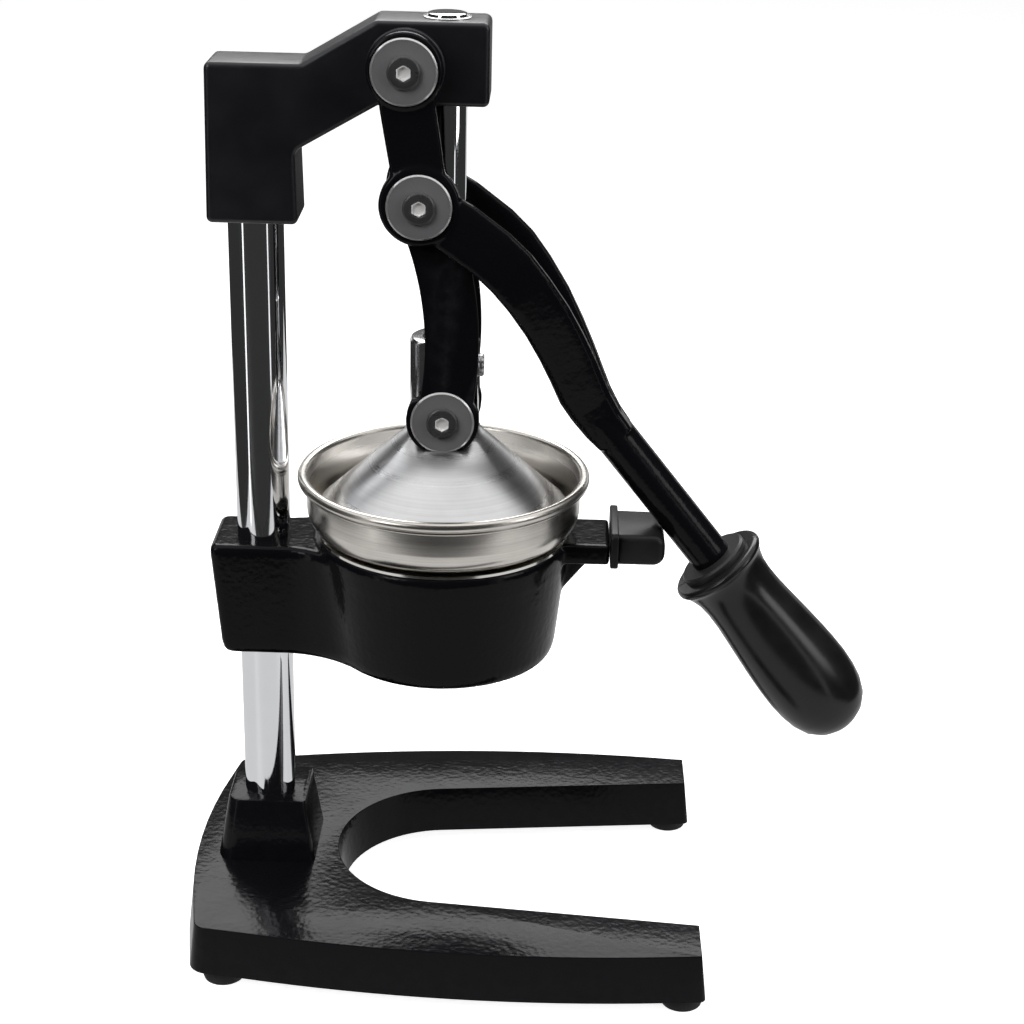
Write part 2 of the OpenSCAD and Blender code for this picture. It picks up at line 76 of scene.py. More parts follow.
class Graph:
    """Small helper that wires shader nodes of one material."""

    def __init__(self, name: str) -> None:
        """Starts a material with an empty tree.

        Args:
            name: Name of the material.
        """
        self.material = bpy.data.materials.new(name)
        self.material.use_nodes = True
        self.tree = self.material.node_tree
        self.tree.nodes.clear()
        self.out = self.tree.nodes.new("ShaderNodeOutputMaterial")
        self.shader = self.tree.nodes.new("ShaderNodeBsdfPrincipled")
        self.link(self.shader.outputs[0], self.out.inputs[0])
        self.coords = self.tree.nodes.new("ShaderNodeTexCoord").outputs["Object"]

    def link(self, a: bpy.types.NodeSocket, b: bpy.types.NodeSocket) -> None:
        """Joins socket a to socket b."""
        self.tree.links.new(a, b)

    def node(self, kind: str, **values: object) -> bpy.types.Node:
        """Adds a node.

        Args:
            kind: Node type without its ShaderNode prefix.
            **values: Attributes of the node.

        Returns:
            The new node.
        """
        made = self.tree.nodes.new("ShaderNode" + kind)
        for key, value in values.items():
            setattr(made, key, value)
        return made

    def put(self, socket: bpy.types.NodeSocket, value: object) -> None:
        """Links a socket or sets a plain value on it."""
        if isinstance(value, bpy.types.NodeSocket):
            self.link(value, socket)
        else:
            socket.default_value = value

    def feed(self, name: str, value: object) -> None:
        """Links or sets one input of the surface shader."""
        self.put(self.shader.inputs[name], value)

    def math(self, operation: str, a: object, b: object = 0.0) -> bpy.types.NodeSocket:
        """A math node.

        Args:
            operation: Name of the operation.
            a: First number or socket.
            b: Second number or socket.

        Returns:
            The result's socket.
        """
        made = self.node("Math", operation=operation)
        self.put(made.inputs[0], a)
        self.put(made.inputs[1], b)
        return made.outputs[0]

    def noise(self, scale: float, detail: float = 3.0, rough: float = 0.5,
              vector: object = None) -> bpy.types.NodeSocket:
        """A noise texture on object coordinates.

        Args:
            scale: Cells per metre.
            detail: Octaves.
            rough: Weight of the fine octaves.
            vector: Coordinates, or None for the piece's own.

        Returns:
            The factor's socket.
        """
        made = self.node("TexNoise")
        self.put(made.inputs["Vector"], vector if vector is not None else self.coords)
        made.inputs["Scale"].default_value = scale
        made.inputs["Detail"].default_value = detail
        made.inputs["Roughness"].default_value = rough
        return made.outputs["Fac"]

    def cells(self, scale: float, smooth: float = 0.6) -> bpy.types.NodeSocket:
        """Rounded cells, as in hammered paint."""
        made = self.node("TexVoronoi", feature="SMOOTH_F1")
        self.put(made.inputs["Vector"], self.coords)
        made.inputs["Scale"].default_value = scale
        made.inputs["Smoothness"].default_value = smooth
        return made.outputs["Distance"]

    def span(self, value: object, low: float, high: float, to_low: float,
             to_high: float) -> bpy.types.NodeSocket:
        """Maps a range onto another.

        Args:
            value: Socket to map.
            low: Start of the range.
            high: End of the range.
            to_low: Result at low.
            to_high: Result at high.

        Returns:
            The mapped socket.
        """
        made = self.node("MapRange")
        for slot, item in enumerate((value, low, high, to_low, to_high)):
            self.put(made.inputs[slot], item)
        return made.outputs[0]

    def blend(self, factor: object, a: tuple[float, ...], b: tuple[float, ...]) -> bpy.types.NodeSocket:
        """Mixes two colours.

        Args:
            factor: Socket that picks between them.
            a: Colour at 0.
            b: Colour at 1.

        Returns:
            The colour's socket.
        """
        made = self.node("Mix", data_type="RGBA")
        self.put(made.inputs[0], factor)
        made.inputs[6].default_value = (*a, 1.0)
        made.inputs[7].default_value = (*b, 1.0)
        return made.outputs[2]

    def bump(self, height: object, strength: float, distance: float) -> None:
        """Feeds the shader's normal from a height.

        Args:
            height: Height socket.
            strength: Weight of the bump.
            distance: Depth in metres of a height of one.
        """
        made = self.node("Bump")
        made.inputs["Strength"].default_value = strength
        made.inputs["Distance"].default_value = distance
        self.put(made.inputs["Height"], height)
        self.link(made.outputs[0], self.shader.inputs["Normal"])

    def rings(self, tall: float, wide: float) -> bpy.types.NodeSocket:
        """Coordinates that follow turning marks round the press axis.

        Args:
            tall: Weight of the height above the table.
            wide: Weight of the distance from the axis.

        Returns:
            A vector socket constant round the axis.
        """
        split = self.node("SeparateXYZ")
        self.link(self.coords, split.inputs[0])
        across = self.math("SUBTRACT", split.outputs[0], AXIS * MM)
        x2 = self.math("MULTIPLY", across, across)
        y2 = self.math("MULTIPLY", split.outputs[1], split.outputs[1])
        radius = self.math("SQRT", self.math("ADD", x2, y2))
        join = self.node("CombineXYZ")
        self.link(self.math("MULTIPLY", radius, wide), join.inputs[0])
        self.link(self.math("MULTIPLY", split.outputs[2], tall), join.inputs[1])
        return join.outputs[0]

    def edges(self, low: float, high: float) -> bpy.types.NodeSocket:
        """Edge mask, used for worn paint and for painted edge highlights: 0 on flats, 1 on sharp outer edges."""
        return self.span(self.node("NewGeometry").outputs["Pointiness"], low, high, 0.0, 1.0)


@dataclass(frozen=True)
class Finish:
    """A named surface finish.

    Attributes:
        slot: The material slot it stands for.
        color: Main colour.
        rough: Mean roughness.
    """

    slot: str
    color: tuple[float, float, float]
    rough: float

    def material(self) -> bpy.types.Material:
        """Returns the finish's material, made once."""
        key = f"{type(self).__name__}_{self.slot}_{round(self.rough * 1000)}_{round(self.color[0] * 1000)}"
        found = bpy.data.materials.get(key)
        if found:
            return found
        graph = Graph(key)
        self.wire(graph)
        return graph.material

    def wire(self, graph: Graph) -> None:
        """Wires the nodes of the finish."""
        raise NotImplementedError


@dataclass(frozen=True)
class CastPaint(Finish):
    """Paint over rough cast iron.

    Attributes:
        lump: Size of the lumps in millimetres.
        depth: Depth of the lumps in millimetres.
        coat: Weight of the clear gloss layer.
        gloss: Specular level of the paint.
    """

    lump: float = 2.4
    depth: float = 0.25
    coat: float = 0.4
    gloss: float = 0.5

    def wire(self, graph: Graph) -> None:
        """Lumpy gloss paint that thins on edges."""
        lumps = graph.cells(1000.0 / self.lump)
        soft = graph.noise(1000.0 / (self.lump * 2.2), 2.0)
        fine = graph.noise(1000.0 / (self.lump * 0.35), 2.0)
        light = tuple(min(1.0, c * 2.2 + 0.004) for c in self.color)
        worn = graph.math("MULTIPLY", graph.edges(0.53, 0.62), graph.span(soft, 0.35, 0.7, 0.2, 1.0))
        graph.feed("Base Color", graph.blend(worn, self.color, light))
        patch = graph.span(graph.noise(60.0, 2.0), 0.3, 0.7, self.rough * 0.85, self.rough * 1.25)
        graph.feed("Roughness", graph.math("ADD", patch, graph.math("MULTIPLY", fine, 0.06)))
        graph.feed("Specular IOR Level", self.gloss)
        graph.feed("Coat Weight", self.coat)
        graph.feed("Coat Roughness", 0.12)
        height = graph.math("ADD", graph.math("MULTIPLY", lumps, 0.55), graph.math("MULTIPLY", soft, 0.9))
        height = graph.math("ADD", height, graph.math("MULTIPLY", fine, 0.16))
        graph.bump(height, 0.8, self.depth * MM * 2.0)


@dataclass(frozen=True)
class Chrome(Finish):
    """Polished chrome plate."""

    def wire(self, graph: Graph) -> None:
        """Mirror with faint rubbing marks along the bar."""
        graph.feed("Metallic", 1.0)
        haze = graph.noise(90.0, 3.0)
        dull = tuple(c * 0.94 for c in self.color)
        graph.feed("Base Color", graph.blend(haze, self.color, dull))
        stretch = graph.node("Mapping")
        graph.link(graph.coords, stretch.inputs["Vector"])
        stretch.inputs["Scale"].default_value = (1.0, 1.0, 0.04)
        streak = graph.noise(1400.0, 2.0, 0.5, stretch.outputs[0])
        graph.feed("Roughness", graph.span(streak, 0.3, 0.75, self.rough, self.rough + 0.05))
        graph.bump(streak, 0.06, 0.02 * MM)


@dataclass(frozen=True)
class Turned(Finish):
    """Metal with turning or spinning marks round the press axis.

    Attributes:
        mark: Spacing of the marks in millimetres.
        depth: Depth of the marks in millimetres.
        tall: Weight of the height in the marks.
        wide: Weight of the radius in the marks.
    """

    mark: float = 0.5
    depth: float = 0.01
    tall: float = 1.0
    wide: float = 1.0

    def wire(self, graph: Graph) -> None:
        """Concentric marks with slow colour change."""
        graph.feed("Metallic", 1.0)
        lines = graph.noise(1000.0 / self.mark, 3.0, 0.6, graph.rings(self.tall, self.wide))
        bands = graph.noise(120.0, 2.0, 0.5, graph.rings(self.tall, self.wide))
        cloud = graph.noise(45.0, 3.0)
        dull = tuple(c * 0.82 for c in self.color)
        tone = graph.math("ADD", graph.math("MULTIPLY", lines, 0.5), graph.math("MULTIPLY", cloud, 0.5))
        graph.feed("Base Color", graph.blend(graph.span(tone, 0.35, 0.65, 0.0, 1.0), self.color, dull))
        graph.feed("Roughness", graph.span(bands, 0.3, 0.7, self.rough * 0.85, self.rough * 1.2))
        graph.feed("Anisotropic", 0.35)
        graph.bump(lines, 0.5, self.depth * MM)


@dataclass(frozen=True)
class Grained(Finish):
    """Metal with a fine even grain, such as phosphated or blackened steel.

    Attributes:
        grain: Size of the grain in millimetres.
        metal: Share of bare metal.
    """

    grain: float = 0.35
    metal: float = 0.85

    def wire(self, graph: Graph) -> None:
        """Fine grain, with a painted highlight on sharp edges."""
        graph.feed("Metallic", self.metal)
        grain = graph.noise(1000.0 / self.grain, 3.0, 0.6)
        cloud = graph.noise(220.0, 2.0)
        bright = tuple(min(1.0, c * 2.6 + 0.05) for c in self.color)
        # Painted highlight: sharp edges are mixed towards a lighter colour; the grain flecks are the metal's own
        # tone.
        grain_and_edge_highlight = graph.math("ADD", graph.edges(0.53, 0.66), graph.span(grain, 0.55, 0.8, 0.0, 0.35))
        graph.feed("Base Color", graph.blend(grain_and_edge_highlight, self.color, bright))
        graph.feed("Roughness", graph.span(cloud, 0.3, 0.7, self.rough * 0.85, self.rough * 1.2))
        graph.bump(grain, 0.35, 0.05 * MM)


@dataclass(frozen=True)
class Moulded(Finish):
    """Moulded plastic or rubber.

    Attributes:
        grain: Size of the skin grain in millimetres.
        depth: Depth of the grain in millimetres.
        gloss: Specular level.
        seam: True for a parting line on the piece's middle plane.
    """

    grain: float = 0.8
    depth: float = 0.02
    gloss: float = 0.4
    seam: bool = False

    def wire(self, graph: Graph) -> None:
        """Skin grain, slight haze and an optional parting line."""
        grain = graph.noise(1000.0 / self.grain, 3.0, 0.55)
        graph.feed("Specular IOR Level", self.gloss)
        haze = graph.noise(70.0, 3.0)
        light = tuple(c * 1.7 + 0.003 for c in self.color)
        graph.feed("Base Color", graph.blend(graph.span(haze, 0.3, 0.8, 0.0, 1.0), self.color, light))
        graph.feed("Roughness", graph.span(haze, 0.3, 0.7, self.rough * 0.88, self.rough * 1.15))
        height = grain
        if self.seam:
            split = graph.node("SeparateXYZ")
            graph.link(graph.coords, split.inputs[0])
            ridge = graph.span(graph.math("ABSOLUTE", split.outputs[1]), 0.0, 0.0005, 6.0, 0.0)
            height = graph.math("ADD", grain, ridge)
        graph.bump(height, 0.6, self.depth * MM)


CAST = CastPaint("cast_paint", (0.004, 0.004, 0.005), 0.13, depth=0.08, coat=0.03, gloss=0.11)
HEAD = CastPaint("head_paint", (0.005, 0.005, 0.007), 0.33, lump=5.0, depth=0.04, coat=0.12, gloss=0.6)
CHROME = Chrome("chrome_column", (0.88, 0.89, 0.91), 0.03)
STAINLESS = Turned("stainless", (0.80, 0.765, 0.715), 0.24, mark=0.7, depth=0.012, tall=1.0, wide=0.3)
POLISHED = Turned("stainless", (0.86, 0.84, 0.80), 0.09, mark=1.6, depth=0.004, tall=1.0, wide=1.0)
PRESS = Turned("press_alu", (0.80, 0.80, 0.805), 0.27, mark=0.9, depth=0.03, tall=0.4, wide=1.0)
NECK = Turned("press_alu", (0.82, 0.82, 0.83), 0.13, mark=1.2, depth=0.006, tall=1.0, wide=0.2)
PHOSPHATE = Grained("phosphated", (0.085, 0.084, 0.087), 0.36, metal=0.25)
BLACKENED = Grained("dark_screw", (0.040, 0.040, 0.041), 0.30, grain=0.5, metal=0.4)
# Painted highlight: a light finish for thin rings laid on the washers' bevelled rims.
RIM_HIGHLIGHT = Grained("zinc", (0.42, 0.41, 0.40), 0.30, grain=0.5, metal=0.8)
SOCKET = Grained("zinc", (0.80, 0.79, 0.78), 0.42, grain=0.6, metal=0.35)
BRIGHT = Grained("zinc", (0.62, 0.62, 0.63), 0.25, grain=0.6)
GRIP = Moulded("grip_plastic", (0.006, 0.006, 0.006), 0.23, grain=1.2, depth=0.02, seam=True)
FERRULE = Moulded("ferrule_black", (0.010, 0.010, 0.010), 0.42)
BUMPER = Moulded("bumper_rubber", (0.006, 0.006, 0.0065), 0.38, grain=0.6, depth=0.02, gloss=0.25)
FOOT = Moulded("foot_rubber", (0.014, 0.014, 0.014), 0.7, grain=0.6, depth=0.05)


# ---------------------------------------------------------------- mesh work


def lathe(profile: Outline, steps: int = 96) -> bmesh.types.BMesh:
    """Spins a closed profile of (radius, height) round Z.

    Args:
        profile: Points in millimetres, in order.
        steps: Number of steps of the full turn.

    Returns:
        A closed bmesh.
    """
    bm = bmesh.new()
    verts = [bm.verts.new((r * MM, 0.0, z * MM)) for r, z in profile]
    edges = [bm.edges.new((a, b)) for a, b in zip(verts, verts[1:])]
    if profile[0][0] > 0 or profile[-1][0] > 0:
        edges.append(bm.edges.new((verts[-1], verts[0])))
    bmesh.ops.spin(bm, geom=verts + edges, cent=(0, 0, 0), axis=(0, 0, 1), angle=math.tau,
                   steps=steps, use_merge=True)
    bmesh.ops.remove_doubles(bm, verts=bm.verts[:], dist=1e-6)
    bmesh.ops.dissolve_degenerate(bm, dist=1e-7, edges=bm.edges[:])
    bmesh.ops.recalc_face_normals(bm, faces=bm.faces[:])
    return bm


def plate(outline: Outline, y0: float, y1: float, edge: float = 0.0, segments: int = 3) -> bmesh.types.BMesh:
    """A plate with an XZ outline between two Y stations.

    Args:
        outline: Points (x, z) in millimetres.
        y0: First station.
        y1: Second station.
        edge: Radius of the rounded rim, or 0.
        segments: Steps of the rounding.

    Returns:
        A closed bmesh.
    """
    bm = bmesh.new()
    face = bm.faces.new([bm.verts.new((x * MM, y0 * MM, z * MM)) for x, z in outline])
    grown = bmesh.ops.extrude_face_region(bm, geom=[face])
    moved = [g for g in grown["geom"] if isinstance(g, bmesh.types.BMVert)]
    bmesh.ops.translate(bm, verts=moved, vec=(0.0, (y1 - y0) * MM, 0.0))
    if len(bm.faces) == len(outline) + 1:
        bm.faces.new([v for v in bm.verts if v not in moved])
    bmesh.ops.recalc_face_normals(bm, faces=bm.faces[:])
    if edge:
        rims = [e for e in bm.edges if abs(e.verts[0].co.y - e.verts[1].co.y) < 1e-7]
        soften(bm, rims, edge, segments)
    return bm


def arc(cx: float, cz: float, r: float, start: float, end: float, steps: int = 16) -> Outline:
    """Points of an arc from start to end degrees.

    Args:
        cx: Centre's first coordinate.
        cz: Centre's second coordinate.
        r: Radius.
        start: First angle.
        end: Last angle.
        steps: Number of steps.

    Returns:
        The points.
    """
    angles = (math.radians(start + (end - start) * i / steps) for i in range(steps + 1))
    return [(cx + r * math.cos(a), cz + r * math.sin(a)) for a in angles]


def rounded(corners: list[tuple[float, float, float]], steps: int = 6) -> Outline:
    """A polygon whose corners are rounded.

    Args:
        corners: (first, second coordinate, radius) of each corner, in order.
        steps: Steps of each rounding.

    Returns:
        The outline.
    """
    points: Outline = []
    count = len(corners)
    for i, (x, y, r) in enumerate(corners):
        here = Vector((x, y))
        before = (Vector(corners[i - 1][:2]) - here).normalized()
        after = (Vector(corners[(i + 1) % count][:2]) - here).normalized()
        half = before.angle(after) / 2
        if r <= 0 or half > 1.55:
            points.append((x, y))
            continue
        reach = r / math.tan(half)
        a, b = here + before * reach, here + after * reach
        mid = here + (before + after).normalized() * (r / math.sin(half))
        va, vb = a - mid, b - mid
        turn = va.angle_signed(vb)
        for k in range(steps + 1):
            angle = -turn * k / steps
            c, s = math.cos(angle), math.sin(angle)
            points.append((mid.x + va.x * c - va.y * s, mid.y + va.x * s + va.y * c))
    return points


def soften(bm: bmesh.types.BMesh, rims: list[bmesh.types.BMEdge], radius: float, segments: int) -> None:
    """Rounds edges.

    Args:
        bm: The shape.
        rims: The edges.
        radius: Radius in millimetres.
        segments: Steps of the rounding.
    """
    bmesh.ops.bevel(bm, geom=rims, offset=radius * MM, offset_type="OFFSET", segments=segments,
                    profile=0.5, affect="EDGES", clamp_overlap=True, material=-1)


def loft(sections: list[list[Vector]]) -> bmesh.types.BMesh:
    """A closed body bridged through sections of equal point counts.

    Args:
        sections: Rings of points in metres.

    Returns:
        A closed bmesh.
    """
    bm = bmesh.new()
    rings = []
    for ring in sections:
        verts = [bm.verts.new(p) for p in ring]
        rings.append([bm.edges.new((verts[i], verts[(i + 1) % len(verts)])) for i in range(len(verts))])
    for a, b in zip(rings, rings[1:]):
        bmesh.ops.bridge_loops(bm, edges=a + b)
    bmesh.ops.holes_fill(bm, edges=rings[0] + rings[-1], sides=0)
    bmesh.ops.recalc_face_normals(bm, faces=bm.faces[:])
    return bm


def joined(parts: list[bmesh.types.BMesh]) -> bmesh.types.BMesh:
    """Puts several bmeshes into one and frees them."""
    whole = bmesh.new()
    for part in parts:
        mesh = mesh_of("part", part)
        whole.from_mesh(mesh)
        bpy.data.meshes.remove(mesh)
    return whole


def moved(bm: bmesh.types.BMesh, matrix: Matrix) -> bmesh.types.BMesh:
    """Transforms a whole bmesh and returns it."""
    bmesh.ops.transform(bm, matrix=matrix, verts=bm.verts[:])
    return bm


def ring_at(outline: Outline, z: float) -> list[Vector]:
    """An outline seen from above as a ring of points in metres."""
    return [Vector((x * MM, y * MM, z * MM)) for x, y in outline]


def sideways(x: float, z: float, sign: int, y: float) -> Matrix:
    """Places a lathed shape on an axis along Y.

    Args:
        x: Axis position.
        z: Axis position.
        sign: 1 for the far side, -1 for the near side.
        y: Station of the shape's own zero.

    Returns:
        The matrix, in metres.
    """
    turn = Matrix.Rotation(math.radians(-90.0 if sign > 0 else 90.0), 4, "X")
    return Matrix.Translation((x * MM, sign * y * MM, z * MM)) @ turn


def mesh_of(name: str, bm: bmesh.types.BMesh) -> bpy.types.Mesh:
    """Turns a shape into a mesh and frees the shape."""
    mesh = bpy.data.meshes.new(name)
    bm.to_mesh(mesh)
    bm.free()
    return mesh


def placed(name: str, data: bpy.types.ID) -> bpy.types.Object:
    """Puts data into the scene as an object."""
    made = bpy.data.objects.new(name, data)
    bpy.context.scene.collection.objects.link(made)
    return made


def temporary(bm: bmesh.types.BMesh) -> bpy.types.Object:
    """A short-lived object that holds a shape and frees it."""
    return placed("shape", mesh_of("shape", bm))


def settled(first: bpy.types.Object, *others: bpy.types.Object) -> bmesh.types.BMesh:
    """Applies the modifiers of a temporary object and clears up.

    Args:
        first: The object with the modifiers.
        *others: Further temporary objects that they use.

    Returns:
        The result.
    """
    graph = bpy.context.evaluated_depsgraph_get()
    done = bpy.data.meshes.new_from_object(first.evaluated_get(graph))
    result = bmesh.new()
    result.from_mesh(done)
    for old in (first, *others):
        mesh = old.data
        bpy.data.objects.remove(old)
        bpy.data.meshes.remove(mesh)
    bpy.data.meshes.remove(done)
    return result


def cast_body(bm: bmesh.types.BMesh, voxel: float, passes: int) -> bmesh.types.BMesh:
    """Fuses overlapping shapes into one casting with soft edges and fillets.

    Args:
        bm: The overlapping closed shapes.
        voxel: Remeshing size in millimetres.
        passes: Smoothing passes.

    Returns:
        The fused bmesh.
    """
    raw = temporary(bm)
    remesh = raw.modifiers.new("fuse", "REMESH")
    remesh.mode = "VOXEL"
    remesh.voxel_size = voxel * MM
    if passes:
        soft = raw.modifiers.new("soften", "SMOOTH")
        soft.factor = 0.5
        soft.iterations = passes
    return settled(raw)


def carved(bm: bmesh.types.BMesh, tool: bmesh.types.BMesh) -> bmesh.types.BMesh:
    """Takes one closed shape out of another.

    Args:
        bm: The shape to cut.
        tool: The shape taken out.

    Returns:
        What is left.
    """
    whole, taken = temporary(bm), temporary(tool)
    cut = whole.modifiers.new("cut", "BOOLEAN")
    cut.operation = "DIFFERENCE"
    cut.object = taken
    return settled(whole, taken)


def piece(name: str, bm: bmesh.types.BMesh, finish: Finish, body: Body, *nodes: str,
          angle: float = 35.0) -> bpy.types.Object:
    """Makes an object, dresses it and hands it to its body.

    Args:
        name: Name of the piece.
        bm: Its shape, freed here.
        finish: Its finish.
        body: The body it rides on.
        *nodes: CAD nodes that it stands for.
        angle: Edges sharper than this stay sharp, in degrees.

    Returns:
        The object.
    """
    bmesh.ops.translate(bm, verts=bm.verts[:], vec=(AXIS * MM, 0.0, 0.0))
    mesh = mesh_of(name, bm)
    mesh.shade_smooth()
    if angle < 180:
        mesh.set_sharp_from_angle(angle=math.radians(angle))
    mesh.materials.append(finish.material())
    made = placed(name, mesh)
    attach(made, body.value)
    if nodes:
        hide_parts(*nodes)
    LOG.info("%s: %d faces on %s", name, len(mesh.polygons), body.value)
    return made


# ---------------------------------------------------------------- base


@dataclass
class BaseStand:
    """The cast base, its feet and the column.

    Attributes:
        half: Half width at the widest place.
        end: X of the leg ends.
        low: Underside.
        high: Top face.
        boss: Top of the column boss.
        column_x: X of the column.
        feet: Centres of the feet.
    """

    half: float = 96.8
    end: float = 124.0
    low: float = 9.0
    high: float = 31.5
    boss: float = 62.0
    column_x: float = -81.7
    feet: tuple[tuple[float, float], ...] = ((114.0, 79.0), (114.0, -79.0), (-95.5, 69.0), (-95.5, -69.0))

    def outline(self) -> Outline:
        """The base seen from above, gap included."""
        side = [(x, self.half - (x - 45.0) ** 2 / 1410.0) for x in
                [self.end - 6.0 - 12.0 * i for i in range(18)]]
        corner = arc(-101.0, 72.6, 9.5, 100.0, 167.0, 8)
        left = [(-118.6 + (y * y) / 628.0, y) for y in (60.0, 45.0, 30.0, 15.0)]
        leg = arc(self.end - 3.0, 89.9, 3.0, 0.0, 85.0, 6)
        inner = [(3.0 + (49.7 * math.cos(a)), 49.7 * math.sin(a)) for a in
                 (math.radians(96.2 + i * (180.0 - 96.2) / 18) for i in range(18))]
        tip = arc(self.end - 3.0, 65.5, 3.0, -83.0, 0.0, 6)
        upper = list(reversed(inner)) + tip + leg + side + corner + left
        lower = [(x, -y) for x, y in reversed(upper)]
        return upper + [(-118.6, 0.0)] + lower + [(-46.7, 0.0)]

    def casting(self) -> bmesh.types.BMesh:
        """The base with draft and rounded rims, without the column boss."""
        bm = bmesh.new()
        floor = [bm.verts.new((x * MM, y * MM, self.low * MM)) for x, y in self.outline()]
        bm.faces.new(floor)
        face = bm.faces.new([bm.verts.new(v.co) for v in floor])
        face.normal_update()
        if face.normal.z < 0:
            face.normal_flip()
        bmesh.ops.inset_region(bm, faces=[face], thickness=2.6 * MM, depth=(self.high - self.low) * MM,
                               use_even_offset=True, use_boundary=True)
        bmesh.ops.remove_doubles(bm, verts=bm.verts[:], dist=1e-6)
        bmesh.ops.recalc_face_normals(bm, faces=bm.faces[:])
        soften(bm, list(face.edges), 1.6, 5)
        return bm

    def boss_block(self) -> bmesh.types.BMesh:
        """The truncated pyramid that holds the column."""
        x = self.column_x
        foot = rounded([(x - 23.6, -21.6, 9.0), (x + 22.8, -21.6, 3.0), (x + 22.8, 21.6, 3.0),
                        (x - 23.6, 21.6, 9.0)], 5)
        head = rounded([(x - 18.4, -17.4, 7.0), (x + 18.4, -17.4, 2.5), (x + 18.4, 17.4, 2.5),
                        (x - 18.4, 17.4, 7.0)], 5)
        rim, top = ([(x + (a - x) * share, b * share) for a, b in head] for share in (0.98, 0.93))
        return loft([ring_at(foot, self.high - 3.0), ring_at(foot, self.high - 0.3), ring_at(head, self.boss - 0.9),
                     ring_at(rim, self.boss - 0.25), ring_at(top, self.boss)])

    def build(self) -> None:
        """Makes the base, feet, screws and column."""
        piece("base_casting", joined([self.casting(), self.boss_block()]), CAST, Body.FRAME, "base", angle=32)
        feet, screws = [], []
        for x, y in self.feet:
            spot = Matrix.Translation((x * MM, y * MM, 0.0))
            feet.append(moved(lathe([(4.6, 3.4), (4.6, 0.5), (5.0, 0.0), (8.6, 0.0), (9.2, 0.4), (9.8, 2.6),
                                     (9.8, 8.4), (9.4, 9.2), (0.0, 9.2), (0.0, 3.4)], 48), spot))
            screws.append(moved(lathe([(0.0, 1.4), (1.9, 1.4), (1.9, 0.9), (3.9, 0.9), (4.3, 1.3), (4.3, 3.3),
                                       (0.0, 3.3)], 32), spot))
        piece("rubber_feet", joined(feet), FOOT, Body.FRAME, "feet")
        piece("foot_fixings", joined(screws), BRIGHT, Body.FRAME, "foot_screws")
        bar = lathe([(0.0, 20.0), (12.0, 20.0), (12.0, 398.0), (0.0, 398.0)], 128)
        piece("column_bar", moved(bar, Matrix.Translation((self.column_x * MM, 0, 0))), CHROME, Body.FRAME,
              "column")


# ---------------------------------------------------------------- bracket


